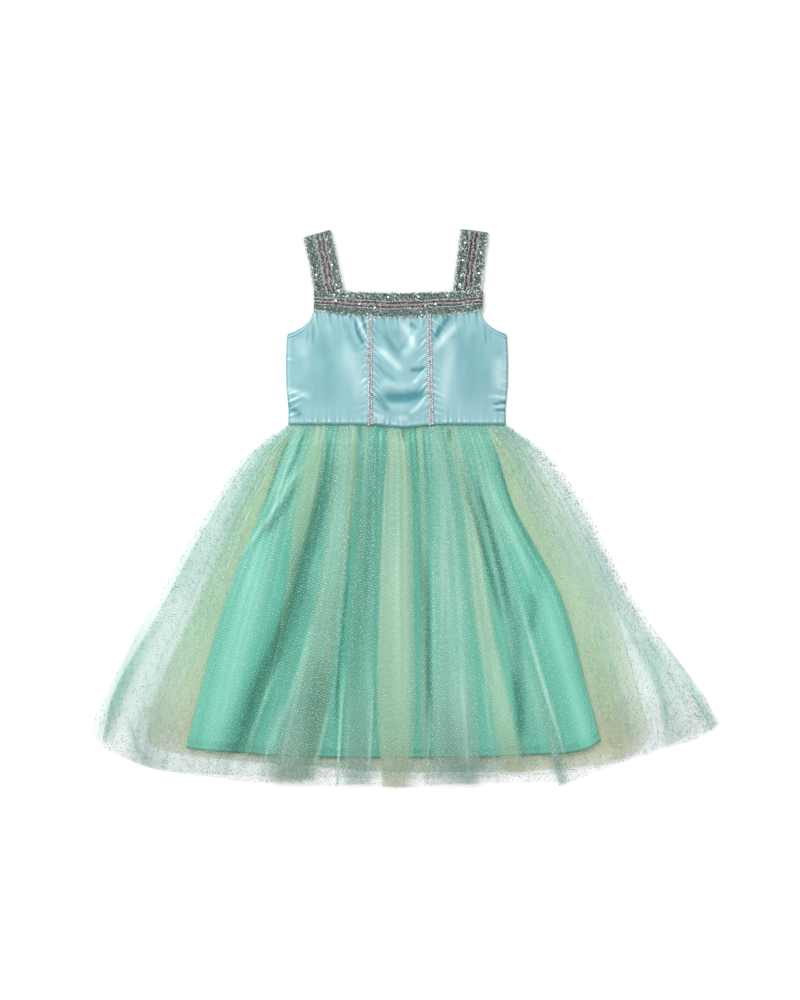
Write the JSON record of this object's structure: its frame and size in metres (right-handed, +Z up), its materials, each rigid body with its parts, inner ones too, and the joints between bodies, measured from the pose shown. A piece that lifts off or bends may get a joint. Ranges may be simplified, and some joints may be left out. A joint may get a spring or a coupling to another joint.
{
  "type": "halloween costume dress",
  "caption": "Child's sleeveless costume dress laid flat: satin bodice, sequin straps and neckband, gathered satin and tulle skirt.",
  "frame": {"origin": "centre of the laid dress's box, on the surface it lies on", "axes": "+X to the right and +Y to the shoulders as the laid dress is seen from above, +Z up from the surface"},
  "size_m": [0.859, 0.7588, 0.023],
  "materials": {
    "bodice_satin": "light aqua-blue satin with a soft sheen",
    "skirt_satin": "turquoise-green satin with a soft sheen",
    "lime_tulle": "fine yellow-green net, see-through in one layer",
    "glitter_tulle": "fine pale aqua net with glued glitter dots",
    "sequin_trim": "rows of small green, clear and dark sequins between beaded lines",
    "bead_braid": "silver-pink beaded braid"
  },
  "bodies": {
    "root": {"bodice_front_centre": "bodice_satin", "bodice_front_left": "bodice_satin", "bodice_front_right": "bodice_satin", "bodice_back_left": "bodice_satin", "bodice_back_right": "bodice_satin", "armhole_binding_left": "bodice_satin", "armhole_binding_right": "bodice_satin", "neckband": "sequin_trim", "strap_left": "sequin_trim", "strap_right": "sequin_trim", "seam_braid_left": "bead_braid", "seam_braid_right": "bead_braid", "satin_skirt_front": "skirt_satin", "satin_skirt_back": "skirt_satin", "lime_tulle_front": "lime_tulle", "lime_tulle_back": "lime_tulle", "glitter_tulle_front": "glitter_tulle", "glitter_tulle_back": "glitter_tulle"}
  },
  "joints": []
}
